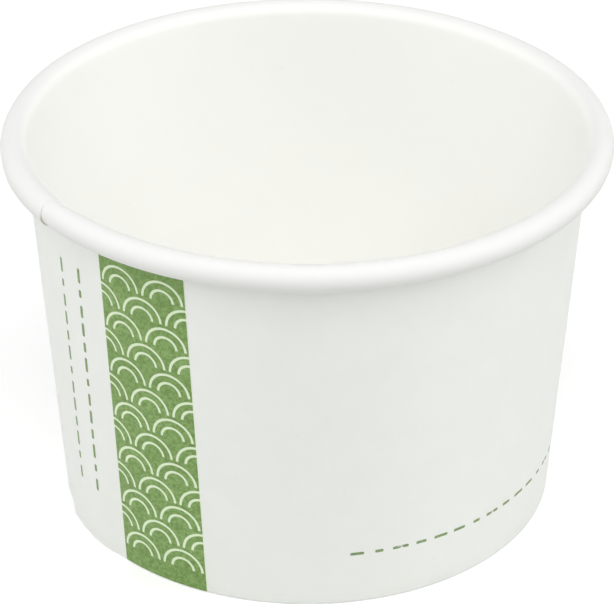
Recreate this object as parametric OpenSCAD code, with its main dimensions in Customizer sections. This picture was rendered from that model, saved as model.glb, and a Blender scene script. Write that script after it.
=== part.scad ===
// Paper pot for hot food, open at the top. One lapped blank makes the side wall,
// with its edge rolled out into a hollow rim at the top and folded in round the base
// at the foot. Millimetres, +Z up, origin at the middle of the foot.
// Directions round the pot are degrees from the front (-Y) towards the right (+X).

/* [Pot] */
// Diameter over the rolled rim
rim_d = 90; // [86:1:110]
// Height from the foot to the top of the rim
height = 60; // [45:1:90]
// Diameter of the wall's outside at the foot
base_d = 74.5; // [64:0.5:78]

/* [Board] */
// Thickness of the side wall's board
wall_board = 0.45; // [0.35:0.05:0.55]
// Thickness of the base's board
base_board = 0.35; // [0.25:0.05:0.5]
// Sealing film between two layers of board
glue_line = 0.05; // [0.04:0.01:0.1]

/* [Rim] */
// Outside diameter of the rolled edge, across its section
roll_d = 3.9; // [3.5:0.1:4.5]
// Gap between the end of the roll and the wall that it tucks against
tuck_gap = 0.12; // [0.06:0.02:0.3]

/* [Lap seam] */
// Width of the lap that joins the two ends of the blank
lap_w = 9; // [5:0.5:12]
// Direction of the lap's inner edge, which shows as a step on the rim
lap_angle = -56; // [-90:1:-56]
// How far the roll swells outwards and down where it holds two layers
lap_swell = 0.1; // [0:0.05:0.25]
// Width over which the outer layer eases back to the round
ease_w = 6; // [4:0.5:6]

/* [Foot] */
// Depth of the recess under the base
recess = 7; // [6:0.5:12]
// Distance from the folded hem's raw edge up to the base's bend
hem_gap = 1.05; // [0.4:0.05:3]
// Outside radius of the foot's pressed folds
fold_r = 0.3; // [0.2:0.05:0.35]
// Outside radius of the bend between the base disc and its skirt
skirt_bend = 0.8; // [0.6:0.05:1]

/* [Printed band] */
// Width of the band
band_w = 14.7; // [8:0.1:15]
// Direction of the band's middle
band_angle = -34.6; // [-35:0.1:60]
// Thickness of the ink
ink = 0.04; // [0.03:0.01:0.06]
// Bare wall between the band's top and the centre of the roll's section
band_top_gap = 1.6; // [1.5:0.1:5]
// Arches that fit across the band
arches_across = 2; // [2:1:3]
// Distance between rows of arches
row_pitch = 3.9; // [3.6:0.1:6]
// Width of the bare lines
line_w = 0.45; // [0.3:0.05:0.6]
// Space between neighbouring lines
line_gap = 0.95; // [0.8:0.05:1.5]

/* [Hidden] */
board_white = [0.93, 0.94, 0.92];
base_white = [0.95, 0.95, 0.92];
ink_green = [0.46, 0.63, 0.27];

// The centre of the roll's section, and the lean of a wall that is tangent to the roll.
roll_r = roll_d / 2;
roll_c = [rim_d / 2 - roll_r, height - roll_r];
foot = [base_d / 2, 0];
to_roll = roll_c - foot;
lean = atan(to_roll.x / to_roll.y) - asin((roll_r - wall_board) / norm(to_roll));

// One layer laid over another lies this much further out.
layer = wall_board + glue_line;
// The hem's coated face lies this far inside the wall's, with the skirt between them.
hem_in = base_board + 2 * glue_line;
hem_h = recess + base_board - skirt_bend - hem_gap;

// Steps of the sweep: across the lap, along the ease, round the rest, along the roll.
lap_steps = 3;
ease_steps = 4;
round_steps = 72;
curl_steps = 18;
bend_steps = 6;
swell_steps = 3;
skin_facets = 180;
arch_facets = 72;
// Radius of the creases on the board's coated face.
crease_r = 0.08;
// The drawing is pressed this much deeper and higher than the ink lies.
press = 0.16;
// The smallest arch has at least this many line widths for its radius.
least_arch = 2;

arc_r = rim_d / 2 - roll_d;
lap_sweep = lap_w / arc_r * 180 / PI;
ease_sweep = ease_w / arc_r * 180 / PI;

// Radius at height z of a cone that lies k outside the wall's inner face.
function wall_r(k, z) = foot.x + (k - wall_board) / cos(lean) + z * tan(lean);

function polar(r, t) = r * [cos(t), sin(t)];

// Share of a smooth step, 1 at the start and 0 at the end.
function eased(t) = (1 + cos(180 * t)) / 2;

// Sweep of a roll of radius r whose centre stands `room` off the wall that it tucks against.
function curl_sweep(r, room) = 360 - acos((room - tuck_gap) / r);

// Quarter turn at the foot: the hem's side first, then the wall's side.
function hem_corner(k, z, r) =
    [for (t = [180, 225, 270]) [wall_r(k, z + r) + r, z + r] + polar(r, t)];
function wall_corner(k, z, r) =
    [for (t = [270, 315, 360]) [wall_r(k, z + r) - r, z + r] + polar(r, t)];

// One face of the blank's section, from the hem's top edge round the foot,
// up the wall and round the roll. `t` is 0 on the coated face and the board's
// thickness on the printed one. Where the roll holds two layers it swells outwards
// and down, so that its top and its inner side stay flush.
function face(s, t) =
    let (
        offset = s[1],
        grow = s[2],
        swell = s[3],
        z = s[4] + wall_board - t,
        stack = s[5],
        r = t > 0 ? fold_r : crease_r,
        centre = roll_c + swell * [1, -1],
        sweep = curl_sweep(roll_r + grow, roll_r + swell - stack)
    )
    concat(
        [[wall_r(-hem_in - offset - t, hem_h), hem_h]],
        hem_corner(-hem_in - offset - t, z, r),
        wall_corner(offset + t, z, r),
        [for (i = [0:curl_steps])
            centre + polar(roll_r + grow - t, 180 - lean - i * sweep / curl_steps)]
    );

// Places round the pot: [direction, layer offset, growth of the roll's radius,
// swell of the roll, lift of the fold, thickness of the wall under the roll].
// The outer layer comes first, then the round, then the inner layer under the lap.
stations = concat(
    [for (i = [0:lap_steps])
        [lap_angle - lap_sweep * (1 - i / lap_steps),
            layer, lap_swell - layer, lap_swell, 0, layer + wall_board]],
    [for (i = [1:ease_steps])
        let (o = layer * eased(i / ease_steps), swell = lap_swell * o / layer)
        [lap_angle + ease_sweep * i / ease_steps, o, swell - o, swell, 0, o + wall_board]],
    [for (i = [1:round_steps - 1])
        let (
            start = lap_angle + ease_sweep,
            whole = 360 - lap_sweep - ease_sweep,
            left = round_steps - i,
            near = left < swell_steps ? eased(left / swell_steps) : 0
        )
        [start + whole * i / round_steps,
            0, near * lap_swell, near * lap_swell, near * layer, wall_board]],
    [for (i = [0:lap_steps])
        [360 + lap_angle - lap_sweep * (1 - i / lap_steps),
            0, lap_swell, lap_swell, layer, layer + wall_board]]
);

function around(p, direction) = [p.x * sin(direction), -p.x * cos(direction), p.y];

// A section's ring of points: up the coated face, back along the printed one.
function ring(s) =
    let (coated = face(s, 0), printed = face(s, wall_board))
    [for (p = concat(coated, [for (i = [len(printed) - 1:-1:0]) printed[i]])) around(p, s[0])];

// The blank, swept round as one closed sheet.
module lapped_sheet() {
    rings = [for (s = stations) ring(s)];
    n = len(rings[0]);
    last = (len(rings) - 1) * n;
    sides = [for (j = [0:len(rings) - 2]) for (i = [0:n - 1])
        let (a = j * n + i, b = j * n + (i + 1) % n)
        each [[a, b, b + n], [a, b + n, a + n]]];
    ends = [for (i = [0:n / 2 - 2])
        let (a = i, b = i + 1, c = n - 2 - i, d = n - 1 - i)
        each [[a, c, b], [a, d, c], [last + a, last + b, last + c], [last + a, last + c, last + d]]];
    polyhedron([for (r = rings) each r], concat(sides, ends), convexity = 10);
}

module side_wall() {
    color(board_white) lapped_sheet();
}

// Disc with its edge turned down into a skirt, which the foot's fold grips.
module base_disc() {
    top = recess + base_board;
    bend_z = top - skirt_bend;
    bend_c = [wall_r(-glue_line - skirt_bend, bend_z), bend_z];
    skirt_z = wall_board + layer + glue_line;
    inner_k = -glue_line - base_board;
    outer_bend = [for (i = [0:bend_steps])
        bend_c + polar(skirt_bend, 90 - i * (90 + lean) / bend_steps)];
    inner_bend = [for (i = [bend_steps:-1:0])
        bend_c + polar(skirt_bend - base_board, 90 - i * (90 + lean) / bend_steps)];
    color(base_white)
        rotate_extrude($fn = skin_facets)
            polygon(concat(
                [[0, top]],
                outer_bend,
                [[wall_r(-glue_line, skirt_z), skirt_z], [wall_r(inner_k, skirt_z), skirt_z]],
                inner_bend,
                [[0, recess]]
            ));
}

// Lays a flat drawing square on the wall: x across it, y up its slope from the foot.
module on_wall(direction) {
    rotate([0, 0, direction])
        translate([0, -wall_r(wall_board, 0), 0])
            rotate([90 + lean, 0, 0])
                children();
}

// One bare line, the upper half of a ring.
module arch(r) {
    intersection() {
        difference() {
            circle(r = r + line_w / 2, $fn = arch_facets);
            circle(r = r - line_w / 2, $fn = arch_facets);
        }
        translate([-r - line_w, 0])
            square([2 * r + 2 * line_w, r + line_w]);
    }
}

// Nested arches, as many as fit inside one another.
module arch_group(r) {
    for (k = [r:-line_w - line_gap:least_arch * line_w]) arch(k);
}

// The band's field of ink with staggered rows of arches left bare.
module band_drawing(low, high) {
    pitch = band_w / arches_across;
    r = (pitch - line_w - line_gap / 2) / 2;
    rows = floor((high - low - r - line_gap) / row_pitch);
    start = (high + low - (rows - 1) * row_pitch - r) / 2;
    difference() {
        translate([-band_w / 2, low - line_gap])
            square([band_w, high - low + 2 * line_gap]);
        for (row = [0:rows - 1], i = [0:arches_across])
            if (row % 2 == 1 || i < arches_across)
                translate([(i + (row % 2 == 1 ? 0 : 0.5)) * pitch - band_w / 2,
                        start + row * row_pitch])
                    arch_group(r);
    }
}

module ink_skin(low, high) {
    rotate_extrude($fn = skin_facets)
        polygon([
            [wall_r(wall_board, low), low],
            [wall_r(wall_board + ink, low), low],
            [wall_r(wall_board + ink, high), high],
            [wall_r(wall_board, high), high]
        ]);
}

module printed_band() {
    low = fold_r;
    high = roll_c.y - band_top_gap;
    depth = foot.x - sqrt(pow(foot.x, 2) - pow(band_w / 2, 2)) + press;
    color(ink_green)
        intersection() {
            ink_skin(low, high);
            on_wall(band_angle)
                translate([0, 0, -depth])
                    linear_extrude(depth + press)
                        band_drawing(low / cos(lean), high / cos(lean));
        }
}

side_wall();
base_disc();
printed_band();
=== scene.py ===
"""Looks of a paper pot for hot food: the lapped wall with its rolled rim, the
recessed base, the print, and the plain studio that the pot stands in.

Metres, +Z up, origin at the middle of the foot. Directions round the pot are
degrees from the front (-Y) towards the right (+X), as in the part's source."""

import math

import bmesh
import bpy
from mathutils import Matrix, Vector


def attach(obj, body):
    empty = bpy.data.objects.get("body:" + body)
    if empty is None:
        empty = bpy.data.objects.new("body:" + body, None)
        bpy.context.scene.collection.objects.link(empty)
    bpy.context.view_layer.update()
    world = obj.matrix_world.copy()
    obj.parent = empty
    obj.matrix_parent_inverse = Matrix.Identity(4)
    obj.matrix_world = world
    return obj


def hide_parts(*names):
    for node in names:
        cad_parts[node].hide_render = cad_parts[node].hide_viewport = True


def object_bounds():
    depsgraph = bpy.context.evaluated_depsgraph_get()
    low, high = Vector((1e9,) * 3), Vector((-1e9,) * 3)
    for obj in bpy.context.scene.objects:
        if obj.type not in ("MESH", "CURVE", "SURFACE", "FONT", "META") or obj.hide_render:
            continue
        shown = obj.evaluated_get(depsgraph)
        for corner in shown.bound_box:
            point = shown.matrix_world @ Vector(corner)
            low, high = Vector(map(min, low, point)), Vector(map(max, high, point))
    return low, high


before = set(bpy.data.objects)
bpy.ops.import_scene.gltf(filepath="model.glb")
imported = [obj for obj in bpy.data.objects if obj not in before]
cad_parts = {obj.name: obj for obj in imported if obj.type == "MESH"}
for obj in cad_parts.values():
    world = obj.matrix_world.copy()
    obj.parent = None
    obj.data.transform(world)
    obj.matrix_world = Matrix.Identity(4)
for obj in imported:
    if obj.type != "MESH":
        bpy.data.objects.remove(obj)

MM = 0.001
CAD_LOW, CAD_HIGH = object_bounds()

# The pot's own sizes, as in the part's source
RIM_R = min(CAD_HIGH.x, CAD_HIGH.y, -CAD_LOW.x, -CAD_LOW.y)
HEIGHT = CAD_HIGH.z
FOOT_R = 37.25 * MM
BOARD = 0.45 * MM
BASE_BOARD = 0.35 * MM
GLUE = 0.05 * MM
ROLL_R = 1.95 * MM
RECESS = 7 * MM
SKIRT_BEND = 0.8 * MM
HEM_GAP = 1.05 * MM
CREASE_R = 0.08 * MM
LAP_SWELL = 0.1 * MM
LAP_ANGLE = -56

# Steps of the sweep, which round the lap and its ease to whole degrees
STEP = math.radians(1)
LAP_STEPS = 13
EASE_STEPS = 9
SWELL_STEPS = 12
PRESS_STEP = math.radians(0.35)
CLOSED_GROOVE = math.radians(0.04)
CURL_STEPS = 42
CURL_SWEEP = math.radians(315)
CURL_TRIM = math.radians(18)
WALL_PARTS = 24
HEM_PARTS = 3
CORNER_STEPS = 3
ROLL_REACH = 2.7 * MM
SKIRT_STEPS = 8
BASE_SIDES = 240
BASE_INSETS = (0.12, 0.2, 0.3)
WALL_SMOOTH, BASE_SMOOTH = 40, 30
LEAST_MOVE = 0.0005 * MM
TOUCH = 0.01 * MM
MIDDLE_REACH = 2 * MM

# Degrees round the roll's section, from 0 outside to 90 on top
FOOD_SIDE_FROM, FOOD_SIDE_SPAN = 80, 70
GROOVE_SHUT = 40

LAYER = BOARD + GLUE
HEM_IN = BASE_BOARD + 2 * GLUE
HEM_TOP = RECESS + BASE_BOARD - SKIRT_BEND - HEM_GAP
ROLL_CENTRE = Vector((RIM_R - ROLL_R, HEIGHT - ROLL_R))
TO_ROLL = ROLL_CENTRE - Vector((FOOT_R, 0))
LEAN = math.atan(TO_ROLL.x / TO_ROLL.y) - math.asin((ROLL_R - BOARD) / TO_ROLL.length)

# The print
BAND_W = 14.7 * MM
BAND_ANGLE = -34.6
BAND_FADE = 0.15 * MM
UPRIGHT_ROWS = ((-57.7, -60.5), (-51.7, -53.7))
UPRIGHT_TOP = 50 * MM
UPRIGHT_FOOT = 10 * MM
UPRIGHT_STROKES = 13
UPRIGHT_TILT = math.radians(-1.6)
LOW_FROM, LOW_TO = 11, 76
LOW_Z = 9 * MM
LOW_STROKES = 14
STROKE_W = 0.5 * MM
STROKE_LENGTH = 2.1 * MM
STROKE_CORNER = 0.4 * STROKE_W
STROKE_OFF = 0.015 * MM
STRETCHES = (1, 0.6, 1.2, 0.8, 1.1)

# Unevenness of the rim: direction, height, push outwards and up, and reach
RIM_PUSHES = ((1, ROLL_CENTRE.y - ROLL_R, Vector((0, -0.17)) * MM, 5 * MM),
              (40, HEIGHT, Vector((-0.08, -0.05)) * MM, 12 * MM),
              (-100, HEIGHT, Vector((-0.1, -0.06)) * MM, 14 * MM),
              (135, HEIGHT, Vector((-0.12, -0.04)) * MM, 16 * MM))
PUSH_CORE = 0.8 * MM

# Surfaces, at their real scale
CLOUD_SCALE, CLOUD_SPAN, CLOUD_SHARE = 160.0, (0.35, 0.65), 0.45
FLECK_SCALE, FLECK_SPAN, FLECK_SHARE = 900.0, (0.74, 0.8), 0.12
FIBRE_ALONG = {"Scale": (1, 1, 0.22)}
FIBRE_ACROSS = {"Scale": (0.3, 0.3, 1), "Rotation": (0.4, 0.3, 0)}
FIBRE_DETAIL, FIBRE_BEND, FIBRE_SPAN = 4.0, 1.2, (0.4, 0.75)
GRAIN_SCALE, GRAIN_SPAN = 5000.0, (0.4, 0.6)
DRIFT_SCALE, DRIFT_SPAN, DRIFT_SHARE = 90.0, (0.35, 0.65), 0.3
KNURL_RIBS = 150
KNURL_FOOT, KNURL_TOP = (1 * MM, 1.6 * MM), (4.4 * MM, 5 * MM)
FIBRE_TO_KNURL = 0.25

# Each finish: the size of its fibres, its roughness as one value and as the span that
# the fibres vary it over, and the strength and depth of its bump
COATED_FIBRE, COATED_PLAIN, COATED_ROUGH = 0.6 * MM, 0.55, (0.5, 0.6)
COATED_BUMP = (0.12, 0.02 * MM)
OUTER_FIBRE, OUTER_PLAIN, OUTER_ROUGH = 0.4 * MM, 0.62, (0.56, 0.7)
OUTER_BUMP = (0.5, 0.06 * MM)
RAW_FIBRE, RAW_PLAIN = 0.12 * MM, 0.85
RAW_BUMP = (0.6, 0.04 * MM)
INK_PLAIN, INK_ROUGH = 0.55, (0.48, 0.62)
INK_BUMP = (0.3, 0.01 * MM)

# Where the finish and the rim's painted shade change, as heights and as distances from the
# pot's axis, and the roughness that rolling adds
PRESSED_LOW, PRESSED_HIGH = 57.3 * MM, 58.5 * MM
ROLL_FROM, ROLL_TO = 41.0 * MM, 42.4 * MM
# Height below which the rim's painted shade is at its darkest, on the roll's underside
RIM_SHADE_FROM = 57.1 * MM
ROLLED_MATT = 0.24

# The photograph's camera, found from the rim, the sides and the foot
CAMERA_TARGET = Vector((0, 0, 29.9 * MM))
CAMERA_DISTANCE = 476.3 * MM
CAMERA_ELEVATION = 29.95
CAMERA_LENS = 184.16
CAMERA_SHIFT = (0.00065, -0.0034)

# Lamps: direction, elevation, distance, size and power
LAMPS = {"front": (0, 48, 1.2, 0.9, 4.7),
         "above": (0, 88, 1.2, 1.2, 2.9),
         "right": (60, 45, 1.2, 0.9, 2.4),
         "left": (-60, 45, 1.2, 0.9, 1.9),
         "low_right": (85, 20, 1.2, 0.8, 3.4),
         "low_left": (-85, 12, 1.2, 0.8, 3.9)}
FILL = 0.305
FLOOR_LIFT = 0.36
FLOOR_SIZE, FLOOR_PLAIN = 4, 0.9
FLOOR_GREY = (0.8, 0.8, 0.8, 1)
WHITE = (1, 1, 1, 1)
SENSOR_WIDTH = 36
NEAREST_SEEN = 0.01


def srgb(red, green, blue):
    """Linear colour of an 8-bit screen colour."""
    def linear(v):
        v = v / 255
        return v / 12.92 if v <= 0.04045 else ((v + 0.055) / 1.055) ** 2.4
    return (linear(red), linear(green), linear(blue), 1)


COATED = srgb(253, 253, 250)
COATED_SHADE = srgb(252, 252, 248)
# Painted shade on the rolled rim: greyer than the food side on its top, and darker on its
# underside
RIM_PAINTED_SHADE = srgb(243, 243, 241)
RIM_UNDERSIDE_PAINTED_SHADE = srgb(229, 230, 226)
OUTER = srgb(238, 240, 235)
OUTER_SHADE = srgb(235, 237, 231)
FLECK = srgb(214, 212, 200)
LINE_TINT = srgb(228, 243, 210)
RAW = srgb(230, 222, 208)
RAW_SHADE = srgb(208, 198, 180)
INK_DEEP = srgb(98, 132, 56)
INK_THIN = srgb(138, 170, 102)
MARK_DEEP = srgb(112, 138, 84)
MARK_THIN = srgb(140, 164, 116)


def wall_r(k, z):
    """Radius at height z of a cone that lies k outside the wall's inner face."""
    return FOOT_R + (k - BOARD) / math.cos(LEAN) + z * math.tan(LEAN)


def outward(direction):
    """Level unit vector away from the axis in that direction."""
    a = math.radians(direction)
    return Vector((math.sin(a), -math.cos(a), 0))


def sideways(direction):
    """Level unit vector round the pot, towards larger directions."""
    a = math.radians(direction)
    return Vector((math.cos(a), math.sin(a), 0))


def place(direction, r, z):
    return outward(direction) * r + Vector((0, 0, z))


def select_only(piece):
    bpy.ops.object.select_all(action="DESELECT")
    piece.select_set(True)
    bpy.context.view_layer.objects.active = piece


def open_for_edit(piece):
    """Makes the piece the only selected one and enters edit mode with nothing picked."""
    select_only(piece)
    bpy.ops.object.mode_set(mode="EDIT")
    bpy.ops.mesh.select_all(action="DESELECT")


def close_edit():
    bpy.ops.object.mode_set(mode="OBJECT")


def start_pen(point, name):
    """A new piece in edit mode that is one picked vertex, to draw from."""
    bpy.ops.object.select_all(action="DESELECT")
    bpy.ops.mesh.primitive_plane_add(size=MM, location=(0, 0, 0))
    piece = bpy.context.object
    piece.name = name
    bpy.ops.object.mode_set(mode="EDIT")
    bpy.ops.mesh.select_all(action="SELECT")
    bpy.ops.mesh.merge(type="CENTER")
    bpy.ops.transform.translate(value=point)
    return piece


def pen_to(vector):
    bpy.ops.mesh.extrude_region_move(TRANSFORM_OT_translate={"value": vector})


def pen_turn(angle, centre, axis, steps):
    """Spins what is picked by the right-hand rule about the axis. The operator's
    own angle runs the other way."""
    bpy.ops.mesh.spin(steps=steps, angle=-angle, center=centre, axis=axis)


def pick(piece, test, kind="verts"):
    """In edit mode, picks only the vertices or faces that pass the test."""
    bpy.ops.mesh.select_all(action="DESELECT")
    mesh = bmesh.from_edit_mesh(piece.data)
    for element in getattr(mesh, kind):
        if test(element):
            element.select_set(True)
    mesh.select_flush(kind == "verts")
    bmesh.update_edit_mesh(piece.data)


def picked(piece):
    """Places of the picked vertices."""
    return [v.co.copy() for v in bmesh.from_edit_mesh(piece.data).verts if v.select]


def picked_indices(piece):
    return {v.index for v in bmesh.from_edit_mesh(piece.data).verts if v.select}


def nearest_picked(piece, point):
    """Index of the picked vertex nearest to the point."""
    mesh = bmesh.from_edit_mesh(piece.data)
    return min((v for v in mesh.verts if v.select), key=lambda v: (v.co - point).length).index


def apply_modifier(piece, kind, **values):
    select_only(piece)
    modifier = piece.modifiers.new(kind.lower(), kind)
    for key, value in values.items():
        setattr(modifier, key, value)
    bpy.ops.object.modifier_apply(modifier=modifier.name)


def settle(piece, slot, *replaced):
    """Puts the piece's place into its mesh and ties it to the pot."""
    select_only(piece)
    bpy.ops.object.transform_apply(location=True, rotation=True, scale=True)
    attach(piece, "root")
    if replaced:
        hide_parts(*replaced)


def smooth(piece, degrees):
    select_only(piece)
    bpy.ops.object.shade_smooth_by_angle(angle=math.radians(degrees))


def radius(point):
    return math.hypot(point.x, point.y)


def roll_place(point):
    """The point's place in the roll's section, seen from the roll's centre."""
    return Vector((radius(point), point.z)) - ROLL_CENTRE


def in_roll(point):
    return roll_place(point).length < ROLL_REACH


def in_hem(point):
    return radius(point) < wall_r(-HEM_IN / 2, point.z) and point.z < RECESS


def roll_point(k, swell, grow):
    """Place k along the coated face of the roll's section, as radius and height."""
    turn = math.pi - LEAN - k * CURL_SWEEP / CURL_STEPS
    return (ROLL_CENTRE + Vector((swell, -swell))
            + Vector((math.cos(turn), math.sin(turn))) * (ROLL_R + grow))


def draw_section(direction):
    """The coated face of the lap's outer layer, from the hem round the foot and up
    the wall, and then round the roll."""
    out, side = outward(direction), sideways(direction)
    hem_k = -HEM_IN - LAYER
    bend_z = BOARD + CREASE_R
    wall = start_pen(place(direction, wall_r(hem_k, HEM_TOP), HEM_TOP), "side_wall_board")
    hem = place(direction, wall_r(hem_k, bend_z), bend_z) - picked(wall)[0]
    for _ in range(HEM_PARTS):
        pen_to(hem / HEM_PARTS)
    corner = place(direction, wall_r(hem_k, bend_z) + CREASE_R, bend_z)
    pen_turn(-math.pi / 2, corner, side, CORNER_STEPS)
    far = wall_r(LAYER, bend_z) - CREASE_R - radius(corner)
    pen_to(out * far)
    pen_turn(-math.pi / 2, corner + out * far, side, CORNER_STEPS)
    foot = place(direction, wall_r(LAYER, bend_z), bend_z)
    start = roll_point(0, LAP_SWELL, LAP_SWELL - LAYER)
    rise = place(direction, start.x, start.y) - foot
    for _ in range(WALL_PARTS):
        pen_to(rise / WALL_PARTS)
    centre = ROLL_CENTRE + Vector((LAP_SWELL, -LAP_SWELL))
    pen_turn(CURL_SWEEP, place(direction, centre.x, centre.y), side, CURL_STEPS)
    return wall


def shift_picked(piece, test, action):
    """Applies the action to those of the picked vertices that pass the test, and
    leaves the same vertices picked as before."""
    before = picked_indices(piece)
    pick(piece, lambda v: v.index in before and test(v.co))
    action()
    pick(piece, lambda v: v.index in before)


def eased(t):
    """Share of a smooth step, 1 at the start and 0 at the end."""
    return (1 + math.cos(math.pi * t)) / 2


def roll_turn(k):
    """Degrees of place k in the roll's section, from 0 outside to 90 on top."""
    return 180 - math.degrees(LEAN + k * CURL_SWEEP / CURL_STEPS)


def lap_share(k, step):
    """How far place k of the roll still lies in the lap's form. On the top and the
    outside the roll is pressed flush at once, and on the food side it eases back."""
    if step < 0:
        return 1
    slow = min(max((roll_turn(k) - FOOD_SIDE_FROM) / FOOD_SIDE_SPAN, 0), 1)
    return eased(step / EASE_STEPS) * (1 - eased(slow))


def lap_lag(k, step):
    """Degrees that place k of the first pressed section lies back towards the raw
    edge, so that the groove between them shows only on the roll's lower outside."""
    shut = 1 - eased(min(max(roll_turn(k) / GROOVE_SHUT, 0), 1))
    return math.degrees(PRESS_STEP - CLOSED_GROOVE) * shut if step == 0 else 0


def ease_section(wall, direction, step):
    """Moves the section just spun from one step of the ease to the next."""
    out = outward(direction)
    before, after = (LAYER * eased(max(i, 0) / EASE_STEPS) for i in (step - 1, step))
    shift = out * (after - before) / math.cos(LEAN)
    shift_picked(wall, in_hem, lambda: bpy.ops.transform.translate(value=-shift))
    shift_picked(wall, lambda p: not in_roll(p) and not in_hem(p),
                 lambda: bpy.ops.transform.translate(value=shift))
    section = picked_indices(wall)
    moves = {}
    for k in range(CURL_STEPS + 1):
        flush = roll_point(k, 0, 0)
        away = roll_point(k, LAP_SWELL, LAP_SWELL - LAYER) - flush
        here, there = (flush + away * lap_share(k, i) for i in (step - 1, step))
        start = place(direction - lap_lag(k, step - 1), here.x, here.y)
        move = place(direction - lap_lag(k, step), there.x, there.y) - start
        if move.length > LEAST_MOVE:
            moves[nearest_picked(wall, start)] = move
    for index, move in moves.items():
        pick(wall, lambda v: v.index == index)
        bpy.ops.transform.translate(value=move)
    pick(wall, lambda v: v.index in section)


def swell_section(wall, direction, before, after):
    """Lifts the fold and swells the roll of the section just spun, towards the lap."""
    shift_picked(wall, lambda p: p.z < BOARD + LAYER + CREASE_R,
                 lambda: bpy.ops.transform.translate(value=(0, 0, LAYER * (after - before))))
    centre = ROLL_CENTRE + Vector((LAP_SWELL, -LAP_SWELL)) * before
    grow = (ROLL_R + LAP_SWELL * after) / (ROLL_R + LAP_SWELL * before)
    shift_picked(wall, in_roll, lambda: bpy.ops.transform.resize(
        value=(grow, grow, grow), center_override=place(direction, centre.x, centre.y)))
    swell = LAP_SWELL * (after - before)
    shift_picked(wall, in_roll, lambda: bpy.ops.transform.translate(
        value=place(direction, swell, -swell)))


def sweep_wall():
    """Spins the section round the pot: the lap's outer layer, its ease back to the
    round, the round itself, and the inner layer, which ends on top of the roll."""
    spin = {"centre": (0, 0, 0), "axis": (0, 0, 1)}
    wall = draw_section(LAP_ANGLE - LAP_STEPS)
    bpy.ops.mesh.select_all(action="SELECT")
    pen_turn(LAP_STEPS * STEP, steps=LAP_STEPS, **spin)
    pen_turn(PRESS_STEP, steps=1, **spin)
    direction = LAP_ANGLE + math.degrees(PRESS_STEP)
    ease_section(wall, direction, 0)
    for i in range(EASE_STEPS):
        pen_turn(STEP, steps=1, **spin)
        ease_section(wall, direction + i + 1, i + 1)
    round_sweep = math.tau - (LAP_STEPS + EASE_STEPS + SWELL_STEPS) * STEP - PRESS_STEP
    pen_turn(round_sweep, steps=round(round_sweep / STEP), **spin)
    lap_start = LAP_ANGLE - LAP_STEPS
    for i in range(SWELL_STEPS):
        pen_turn(STEP, steps=1, **spin)
        swell_section(wall, lap_start - SWELL_STEPS + i + 1,
                      1 - eased(i / SWELL_STEPS), 1 - eased((i + 1) / SWELL_STEPS))
    pen_turn(LAP_STEPS * STEP, steps=LAP_STEPS, **spin)
    return wall


def trim_roll(wall):
    """Cuts the roll's end back along the lap, where the doubled wall fills the space
    that it tucks into elsewhere."""
    high = math.radians(LAP_ANGLE) + STEP / 2
    low = high - (LAP_STEPS + 1) * STEP
    last = math.pi - LEAN - CURL_SWEEP

    def spare(face):
        middle = face.calc_center_median()
        seen = roll_place(middle)
        turn = math.atan2(seen.y, seen.x)
        direction = math.atan2(middle.x, -middle.y)
        return (in_roll(middle) and low < direction < high
                and last < turn < last + CURL_TRIM)

    pick(wall, spare, "faces")
    bpy.ops.mesh.delete(type="FACE")


def face_inwards(wall):
    """Turns the coated face of the sheet towards the food."""
    mesh = bmesh.from_edit_mesh(wall.data)
    mesh.faces.ensure_lookup_table()
    face = next(f for f in mesh.faces
                if abs(f.calc_center_median().z - HEIGHT / 2) < MIDDLE_REACH)
    if face.normal.dot(face.calc_center_median()) > 0:
        bpy.ops.mesh.select_all(action="SELECT")
        bpy.ops.mesh.flip_normals()


def ease_rim(wall):
    """Small unevenness that rolling leaves in the rim: soft pushes down and inwards."""
    open_for_edit(wall)
    for direction, z, push, reach in RIM_PUSHES:
        spot = place(direction, ROLL_CENTRE.x, z)
        pick(wall, lambda v: (v.co - spot).length < PUSH_CORE)
        bpy.ops.transform.translate(value=place(direction, push.x, push.y),
                                    use_proportional_edit=True,
                                    proportional_edit_falloff="SMOOTH",
                                    proportional_size=reach)
    close_edit()


def make_wall(materials):
    wall = sweep_wall()
    trim_roll(wall)
    face_inwards(wall)
    close_edit()
    for material in materials:
        wall.data.materials.append(material)
    apply_modifier(wall, "SOLIDIFY", thickness=BOARD, offset=-1, use_even_offset=True,
                   use_quality_normals=True, material_offset=1, material_offset_rim=2)
    smooth(wall, WALL_SMOOTH)
    ease_rim(wall)
    settle(wall, "wall_board", "side_wall")
    return wall


def widen_down(here, there):
    """Extrudes the picked ring of edges from one radius and height to another."""
    bpy.ops.mesh.extrude_region_move(
        TRANSFORM_OT_translate={"value": (0, 0, there.y - here.y)})
    grow = there.x / here.x
    bpy.ops.transform.resize(value=(grow, grow, 1), center_override=(0, 0, 0))


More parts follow.
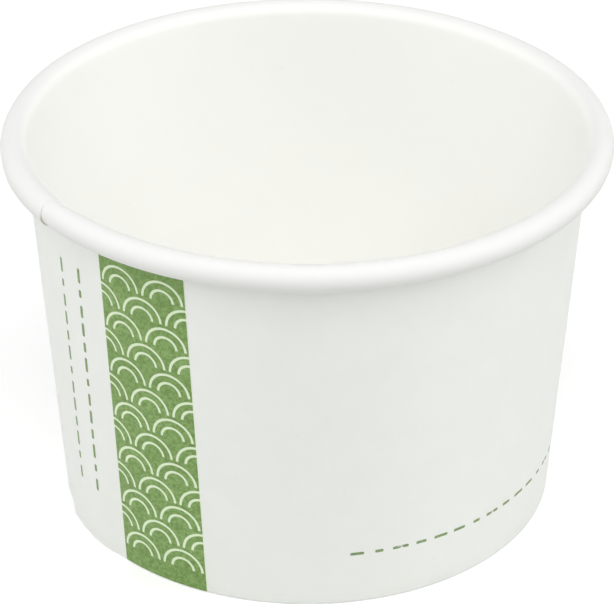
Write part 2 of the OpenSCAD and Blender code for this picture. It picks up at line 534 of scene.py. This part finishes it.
def make_base(materials):
    """The base: a disc whose edge is turned down into a skirt."""
    top = RECESS + BASE_BOARD
    bend_z = top - SKIRT_BEND
    flat_r = wall_r(-GLUE - SKIRT_BEND, bend_z)
    skirt_z = BOARD + LAYER + GLUE
    bpy.ops.object.select_all(action="DESELECT")
    bpy.ops.mesh.primitive_circle_add(vertices=BASE_SIDES, radius=flat_r, fill_type="NGON",
                                      location=(0, 0, top))
    base = bpy.context.object
    base.name = "base_disc_board"
    bpy.ops.object.transform_apply(location=True)
    open_for_edit(base)
    bpy.ops.mesh.select_all(action="SELECT")
    for part in BASE_INSETS:
        bpy.ops.mesh.inset(thickness=flat_r * part)
    pick(base, lambda v: radius(v.co) > flat_r - TOUCH)
    bpy.ops.mesh.select_mode(type="EDGE")
    turn = (math.pi / 2 + LEAN) / SKIRT_STEPS
    here = Vector((flat_r, top))
    for i in range(1, SKIRT_STEPS + 1):
        there = Vector((flat_r + SKIRT_BEND * math.sin(i * turn),
                        bend_z + SKIRT_BEND * math.cos(i * turn)))
        widen_down(here, there)
        here = there
    widen_down(here, Vector((wall_r(-GLUE, skirt_z), skirt_z)))
    bpy.ops.mesh.select_mode(type="VERT")
    bpy.ops.mesh.select_all(action="SELECT")
    bpy.ops.mesh.normals_make_consistent(inside=False)
    close_edit()
    if base.data.polygons[0].normal.z < 0:
        base.data.flip_normals()
    for material in materials:
        base.data.materials.append(material)
    apply_modifier(base, "SOLIDIFY", thickness=BASE_BOARD, offset=-1, use_even_offset=True,
                   use_quality_normals=True, material_offset=1, material_offset_rim=2)
    smooth(base, BASE_SMOOTH)
    settle(base, "base_board", "base_disc")


def add_node(tree, kind, inputs=None, **settings):
    """A new node with its settings, and with its inputs set or linked."""
    node = tree.nodes.new(kind)
    for name, value in settings.items():
        setattr(node, name, value)
    for name, value in (inputs or {}).items():
        if isinstance(value, bpy.types.NodeSocket):
            tree.links.new(value, node.inputs[name])
        else:
            node.inputs[name].default_value = value
    return node


def noise(tree, vector, scale, detail=2.0, roughness=0.5):
    made = add_node(tree, "ShaderNodeTexNoise", {"Vector": vector, "Scale": scale,
                                                 "Detail": detail, "Roughness": roughness})
    return made.outputs["Fac"]


def ramp(tree, value, low, high, to_low=0.0, to_high=1.0):
    """Maps low..high of a value smoothly to another span."""
    made = add_node(tree, "ShaderNodeMapRange",
                    {"Value": value, "From Min": low, "From Max": high,
                     "To Min": to_low, "To Max": to_high}, interpolation_type="SMOOTHSTEP")
    return made.outputs["Result"]


def calculate(tree, operation, first, second=0.0):
    made = add_node(tree, "ShaderNodeMath", {0: first, 1: second}, operation=operation)
    return made.outputs[0]


def mix(tree, share, first, second):
    made = add_node(tree, "ShaderNodeMix", {0: share, 6: first, 7: second}, data_type="RGBA")
    return made.outputs[2]


def new_group(name, outputs, inputs=()):
    """An empty node group with a vector input and the named outputs."""
    group = bpy.data.node_groups.new(name, "ShaderNodeTree")
    group.interface.new_socket("Vector", in_out="INPUT", socket_type="NodeSocketVector")
    for key, value in inputs:
        socket = group.interface.new_socket(key, in_out="INPUT", socket_type="NodeSocketFloat")
        socket.default_value = value
    for key in outputs:
        group.interface.new_socket(key, in_out="OUTPUT", socket_type="NodeSocketFloat")
    start = group.nodes.new("NodeGroupInput")
    end = group.nodes.new("NodeGroupOutput")
    return group, start, end


def fibres(tree, vector, scale, lie):
    """Fibres that are drawn out in one direction."""
    drawn = add_node(tree, "ShaderNodeMapping", {"Vector": vector, **lie})
    made = add_node(tree, "ShaderNodeTexNoise",
                    {"Vector": drawn.outputs[0], "Scale": scale, "Detail": FIBRE_DETAIL,
                     "Distortion": FIBRE_BEND})
    return made.outputs["Fac"]


def make_board_group():
    """Look of paperboard: cloudy formation, matted fibres and sparse flecks."""
    group, start, end = new_group("board_fibres", ("Cloud", "Fibre", "Fleck"),
                                  (("Fibre Size", OUTER_FIBRE),))
    vector = start.outputs["Vector"]
    scale = calculate(group, "DIVIDE", 1.0, start.outputs["Fibre Size"])
    cloud = noise(group, vector, CLOUD_SCALE, detail=3.0, roughness=0.55)
    along, across = (fibres(group, vector, scale, lie) for lie in (FIBRE_ALONG, FIBRE_ACROSS))
    matted = calculate(group, "MAXIMUM", along, across)
    fleck = noise(group, vector, FLECK_SCALE, detail=1.0)
    group.links.new(ramp(group, cloud, *CLOUD_SPAN), end.inputs["Cloud"])
    group.links.new(ramp(group, matted, *FIBRE_SPAN), end.inputs["Fibre"])
    group.links.new(ramp(group, fleck, *FLECK_SPAN), end.inputs["Fleck"])
    return group


def make_grain_group():
    """Grain of flat ink on board: fine speckle and a slow drift of the ink's depth."""
    group, start, end = new_group("print_grain", ("Thin", "Drift"))
    vector = start.outputs["Vector"]
    fine = noise(group, vector, GRAIN_SCALE, detail=3.0, roughness=0.7)
    coarse = noise(group, vector, GRAIN_SCALE / 3, detail=2.0, roughness=0.6)
    both = calculate(group, "MULTIPLY", calculate(group, "ADD", fine, coarse), 0.5)
    drift = noise(group, vector, DRIFT_SCALE)
    group.links.new(ramp(group, both, *GRAIN_SPAN), end.inputs["Thin"])
    group.links.new(ramp(group, drift, *DRIFT_SPAN), end.inputs["Drift"])
    return group


def place_group(tree, group, vector, **values):
    node = add_node(tree, "ShaderNodeGroup", node_tree=group)
    tree.links.new(vector, node.inputs["Vector"])
    for key, value in values.items():
        node.inputs[key.replace("_", " ").title()].default_value = value
    return node.outputs


def new_material(name, roughness):
    """A material with its shader, and the object's own coordinates."""
    material = bpy.data.materials.new(name)
    material.use_nodes = True
    tree = material.node_tree
    shader = tree.nodes["Principled BSDF"]
    shader.inputs["Roughness"].default_value = roughness
    where = add_node(tree, "ShaderNodeTexCoord").outputs["Object"]
    return material, tree, shader, where


def add_bump(tree, shader, height, strength, distance):
    bump = add_node(tree, "ShaderNodeBump", {"Height": height, "Strength": strength,
                                             "Distance": distance})
    tree.links.new(bump.outputs["Normal"], shader.inputs["Normal"])


def board_colour(tree, board, colour, shade):
    """The board's colour with cloudy formation and sparse darker flecks."""
    clouded = mix(tree, calculate(tree, "MULTIPLY", board["Cloud"], CLOUD_SHARE), colour, shade)
    return mix(tree, calculate(tree, "MULTIPLY", board["Fleck"], FLECK_SHARE), clouded, FLECK)


def turn_and_distance(tree, where):
    """The place's coordinates, and its distance from the pot's axis."""
    split = add_node(tree, "ShaderNodeSeparateXYZ", {"Vector": where})
    x, y, z = (split.outputs[axis] for axis in "XYZ")
    far = calculate(tree, "SQRT", calculate(tree, "ADD", calculate(tree, "MULTIPLY", x, x),
                                            calculate(tree, "MULTIPLY", y, y)))
    return x, y, z, far


def make_coated(board_group):
    """Food side of the board: a thin clear film that follows the fibres softly, rougher round
    the rolled rim, where painted shade greys it, deepest on the rim's underside."""
    material, tree, shader, where = new_material("coated_board", COATED_PLAIN)
    board = place_group(tree, board_group, where, fibre_size=COATED_FIBRE)
    colour = board_colour(tree, board, COATED, COATED_SHADE)
    _, _, z, far = turn_and_distance(tree, where)
    rolled = ramp(tree, far, ROLL_FROM, ROLL_TO)
    # Painted shade on the rolled rim, darker towards the roll's underside
    rim_painted_shade = mix(tree, ramp(tree, z, RIM_SHADE_FROM, HEIGHT), RIM_UNDERSIDE_PAINTED_SHADE, RIM_PAINTED_SHADE)
    tree.links.new(mix(tree, rolled, colour, rim_painted_shade), shader.inputs["Base Color"])
    matt = calculate(tree, "MULTIPLY", rolled, ROLLED_MATT)
    rough = calculate(tree, "ADD", ramp(tree, board["Fibre"], 0, 1, *COATED_ROUGH), matt)
    tree.links.new(rough, shader.inputs["Roughness"])
    add_bump(tree, shader, board["Fibre"], *COATED_BUMP)
    return material


def knurl(tree, where):
    """Height of the fine upright ribs that the foot's pressing tool leaves inside."""
    x, y, z, far = turn_and_distance(tree, where)
    turn = calculate(tree, "ARCTAN2", x, y)
    wave = calculate(tree, "SINE", calculate(tree, "MULTIPLY", turn, KNURL_RIBS))
    inside = calculate(tree, "LESS_THAN", far, FOOT_R - BOARD - HEM_IN / 2)
    band = calculate(tree, "MULTIPLY", ramp(tree, z, *KNURL_FOOT),
                     ramp(tree, z, *KNURL_TOP, 1.0, 0.0))
    return calculate(tree, "MULTIPLY", calculate(tree, "MULTIPLY", wave, inside), band)


def make_printed(board_group):
    """Outer side of the board: matt, with a tint under the band that shows in its bare
    lines, and the knurl inside the foot."""
    material, tree, shader, where = new_material("printed_board", OUTER_PLAIN)
    board = place_group(tree, board_group, where, fibre_size=OUTER_FIBRE)
    colour = board_colour(tree, board, OUTER, OUTER_SHADE)
    across = add_node(tree, "ShaderNodeVectorMath",
                      {0: where, 1: sideways(BAND_ANGLE)}, operation="DOT_PRODUCT")
    before = add_node(tree, "ShaderNodeVectorMath",
                      {0: where, 1: outward(BAND_ANGLE)}, operation="DOT_PRODUCT")
    off = calculate(tree, "ABSOLUTE", across.outputs["Value"])
    _, _, _, far = turn_and_distance(tree, where)
    on_wall = calculate(tree, "MULTIPLY",
                        calculate(tree, "GREATER_THAN", before.outputs["Value"], 0.0),
                        calculate(tree, "GREATER_THAN", far, FOOT_R - GLUE))
    tint = calculate(tree, "MULTIPLY", on_wall,
                     ramp(tree, off, BAND_W / 2, BAND_W / 2 + BAND_FADE, 1.0, 0.0))
    tree.links.new(mix(tree, tint, colour, LINE_TINT), shader.inputs["Base Color"])
    tree.links.new(ramp(tree, board["Fibre"], 0, 1, *OUTER_ROUGH), shader.inputs["Roughness"])
    fibre = calculate(tree, "MULTIPLY", board["Fibre"], FIBRE_TO_KNURL)
    height = calculate(tree, "ADD", fibre, knurl(tree, where))
    add_bump(tree, shader, height, *OUTER_BUMP)
    return material


def make_raw(board_group):
    """Cut edge: fibres in layers between the two faces, pressed pale on the roll's top."""
    material, tree, shader, where = new_material("raw_edge", RAW_PLAIN)
    board = place_group(tree, board_group, where, fibre_size=RAW_FIBRE)
    colour = mix(tree, board["Fibre"], RAW, RAW_SHADE)
    split = add_node(tree, "ShaderNodeSeparateXYZ", {"Vector": where})
    pressed = ramp(tree, split.outputs["Z"], PRESSED_LOW, PRESSED_HIGH)
    tree.links.new(mix(tree, pressed, colour, COATED), shader.inputs["Base Color"])
    add_bump(tree, shader, board["Fibre"], *RAW_BUMP)
    return material


def make_ink(name, grain_group, deep, thin):
    """Flat ink, which the board's fibres take up unevenly."""
    material, tree, shader, where = new_material(name, INK_PLAIN)
    grain = place_group(tree, grain_group, where)
    colour = mix(tree, grain["Thin"], deep, thin)
    drift = calculate(tree, "MULTIPLY", grain["Drift"], DRIFT_SHARE)
    tree.links.new(mix(tree, drift, colour, deep), shader.inputs["Base Color"])
    tree.links.new(ramp(tree, grain["Thin"], 0, 1, *INK_ROUGH), shader.inputs["Roughness"])
    add_bump(tree, shader, grain["Thin"], *INK_BUMP)
    return material


def make_stroke():
    """A short plain stroke of print with rounded ends, flat at the origin, long in Y."""
    bpy.ops.object.select_all(action="DESELECT")
    bpy.ops.mesh.primitive_plane_add(size=1, location=(0, 0, 0))
    stroke = bpy.context.object
    stroke.name = "print_stroke"
    bpy.ops.object.mode_set(mode="EDIT")
    bpy.ops.mesh.select_all(action="SELECT")
    bpy.ops.transform.resize(value=(STROKE_W, STROKE_LENGTH, 1))
    bpy.ops.mesh.bevel(offset=STROKE_CORNER, segments=3, affect="VERTICES")
    close_edit()
    return stroke


def copy_piece(piece):
    select_only(piece)
    bpy.ops.object.duplicate(linked=False)
    return bpy.context.object


def lay_stroke(stroke, direction, z, stretch, turn):
    """Stands a copy of the stroke just off the wall, turned in the wall's plane."""
    made = copy_piece(stroke)
    made.scale = (1, stretch, 1)
    spin = Matrix.Rotation(math.radians(direction), 4, "Z")
    lean = Matrix.Rotation(math.pi / 2 + LEAN, 4, "X")
    made.matrix_world = (Matrix.Translation(place(direction, wall_r(BOARD, z) + LAYER, z))
                         @ spin @ lean @ Matrix.Rotation(turn, 4, "Z") @ made.matrix_basis)
    return made


def make_marks(wall, material):
    """Plain printed strokes on the wall: two upright rows beside the band and one low
    row on the right."""
    stroke = make_stroke()
    strokes = []
    for top, foot in UPRIGHT_ROWS:
        span = UPRIGHT_TOP - UPRIGHT_FOOT
        for i in range(UPRIGHT_STROKES):
            t = (i + 0.5) / UPRIGHT_STROKES
            strokes.append(lay_stroke(stroke, foot + (top - foot) * t,
                                      UPRIGHT_FOOT + span * t,
                                      STRETCHES[i % len(STRETCHES)], UPRIGHT_TILT))
    for i in range(LOW_STROKES):
        t = i / (LOW_STROKES - 1)
        strokes.append(lay_stroke(stroke, LOW_FROM + (LOW_TO - LOW_FROM) * t,
                                  LOW_Z, STRETCHES[i % len(STRETCHES)], math.pi / 2))
    bpy.data.objects.remove(stroke)
    bpy.ops.object.select_all(action="DESELECT")
    for made in strokes:
        made.select_set(True)
    bpy.context.view_layer.objects.active = strokes[0]
    bpy.ops.object.join()
    marks = bpy.context.object
    marks.name = "printed_strokes"
    bpy.ops.object.transform_apply(location=True, rotation=True, scale=True)
    marks.data.materials.append(material)
    apply_modifier(marks, "SHRINKWRAP", target=wall, wrap_method="NEAREST_SURFACEPOINT",
                   wrap_mode="ABOVE_SURFACE", offset=STROKE_OFF)
    settle(marks, "green_ink")


def white_to_viewer(tree):
    """1 for camera, mirror and see-through rays, and 0 for the light that falls on things."""
    path = add_node(tree, "ShaderNodeLightPath")
    seen = calculate(tree, "MAXIMUM", path.outputs["Is Camera Ray"],
                     path.outputs["Is Glossy Ray"])
    return calculate(tree, "MAXIMUM", seen, path.outputs["Is Transmission Ray"])


def make_floor():
    bpy.ops.object.select_all(action="DESELECT")
    bpy.ops.mesh.primitive_plane_add(size=FLOOR_SIZE, location=(0, 0, 0))
    floor = bpy.context.object
    floor.name = "floor"
    material, tree, shader, _ = new_material("floor_white", FLOOR_PLAIN)
    shader.inputs["Base Color"].default_value = FLOOR_GREY
    shader.inputs["Emission Color"].default_value = WHITE
    lift = calculate(tree, "MULTIPLY", white_to_viewer(tree), FLOOR_LIFT)
    tree.links.new(lift, shader.inputs["Emission Strength"])
    floor.data.materials.append(material)


def make_world(scene):
    world = bpy.data.worlds.new("studio")
    scene.world = world
    world.use_nodes = True
    tree = world.node_tree
    fill = tree.nodes["Background"]
    fill.inputs["Color"].default_value = WHITE
    fill.inputs["Strength"].default_value = FILL
    seen = add_node(tree, "ShaderNodeBackground", {"Color": WHITE, "Strength": 1.0})
    both = add_node(tree, "ShaderNodeMixShader", {0: white_to_viewer(tree),
                                                  1: fill.outputs[0], 2: seen.outputs[0]})
    tree.links.new(both.outputs[0], tree.nodes["World Output"].inputs["Surface"])


def add_lamp(name, direction, elevation, distance, size, power):
    """A square lamp that faces the pot from that direction and elevation."""
    e = math.radians(elevation)
    away = outward(direction) * math.cos(e) + Vector((0, 0, math.sin(e)))
    bpy.ops.object.light_add(type="AREA", location=CAMERA_TARGET + away * distance)
    lamp = bpy.context.object
    lamp.name = name
    lamp.rotation_euler = away.to_track_quat("Z", "Y").to_euler()
    lamp.data.size = size
    lamp.data.energy = power


def make_camera(scene):
    e = math.radians(CAMERA_ELEVATION)
    bpy.ops.object.camera_add(
        location=CAMERA_TARGET + CAMERA_DISTANCE * Vector((0, -math.cos(e), math.sin(e))),
        rotation=(math.pi / 2 - e, 0, 0))
    camera = bpy.context.object
    camera.data.lens = CAMERA_LENS
    camera.data.sensor_width = SENSOR_WIDTH
    camera.data.shift_x, camera.data.shift_y = CAMERA_SHIFT
    camera.data.clip_start = NEAREST_SEEN
    scene.camera = camera


board_group = make_board_group()
grain_group = make_grain_group()
coated = make_coated(board_group)
printed = make_printed(board_group)
raw = make_raw(board_group)
wall = make_wall([coated, printed, raw])
make_base([coated, printed, raw])
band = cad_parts["printed_band"]
band.data.materials.clear()
band.data.materials.append(make_ink("band_ink", grain_group, INK_DEEP, INK_THIN))
make_marks(wall, make_ink("stroke_ink", grain_group, MARK_DEEP, MARK_THIN))

scene = bpy.context.scene
scene.view_settings.view_transform = "Standard"
make_floor()
make_world(scene)
for name, values in LAMPS.items():
    add_lamp(name, *values)
make_camera(scene)
